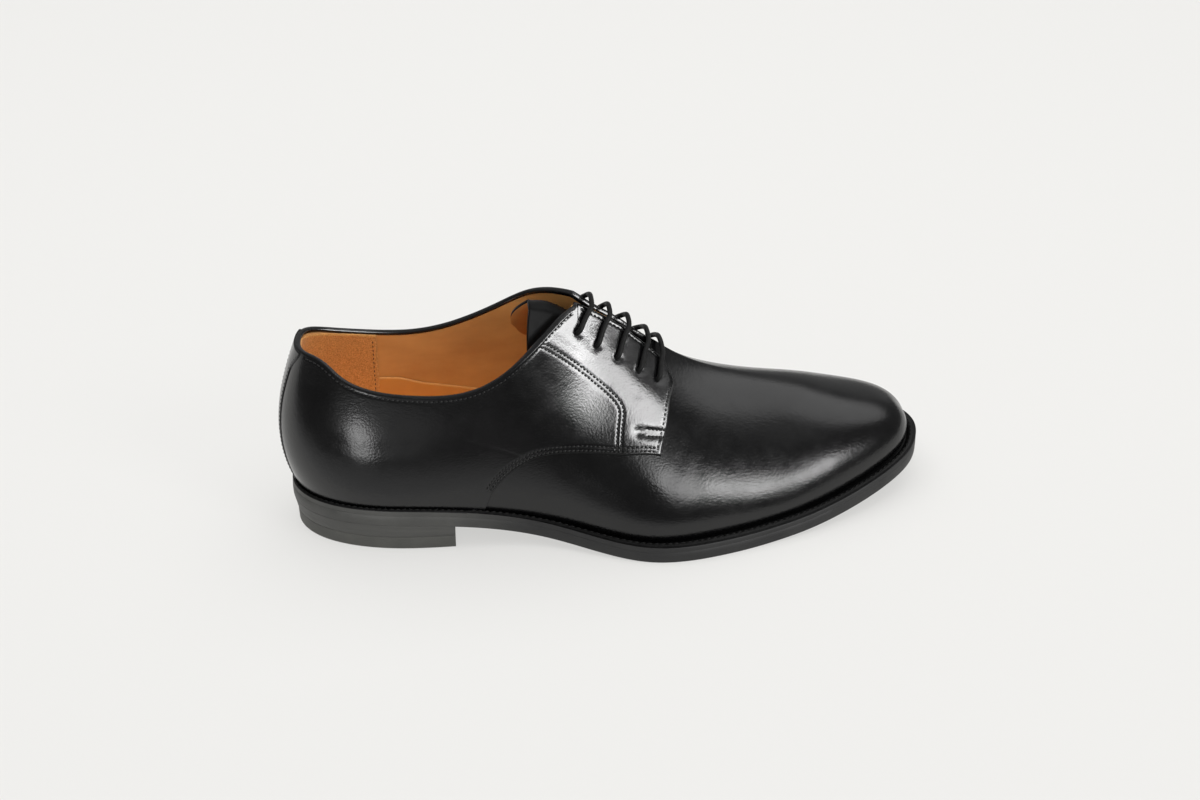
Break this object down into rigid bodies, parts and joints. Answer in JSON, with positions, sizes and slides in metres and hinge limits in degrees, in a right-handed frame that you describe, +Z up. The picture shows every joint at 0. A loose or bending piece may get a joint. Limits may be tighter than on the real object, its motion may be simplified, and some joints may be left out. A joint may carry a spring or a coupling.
{
  "type": "lace-up derby shoe",
  "caption": "Plain-toe lace-up derby shoe for the right foot: hollow leather upper on a welted sole with a stacked heel, tongue and laced facings.",
  "frame": {"origin": "on the floor, under the middle of the whole shoe's box", "axes": "+X to the toe, -Y to the outer (lateral) side of the foot, +Z up"},
  "size_m": [0.3074, 0.1106, 0.1103],
  "materials": {
    "outsole": "matte edge",
    "welt": "satin",
    "heel_rand": "satin",
    "heel_stack": "matte edge",
    "heel_top_lift": "matte",
    "insole": "matte",
    "upper": "polished",
    "tongue": "satin",
    "laces": "waxed"
  },
  "bodies": {
    "root": {"outsole": "outsole", "welt": "welt", "heel_rand": "heel_rand", "heel_stack": "heel_stack", "heel_top_lift": "heel_top_lift", "insole": "insole", "upper": "upper", "tongue": "tongue", "laces": "laces"}
  },
  "joints": []
}
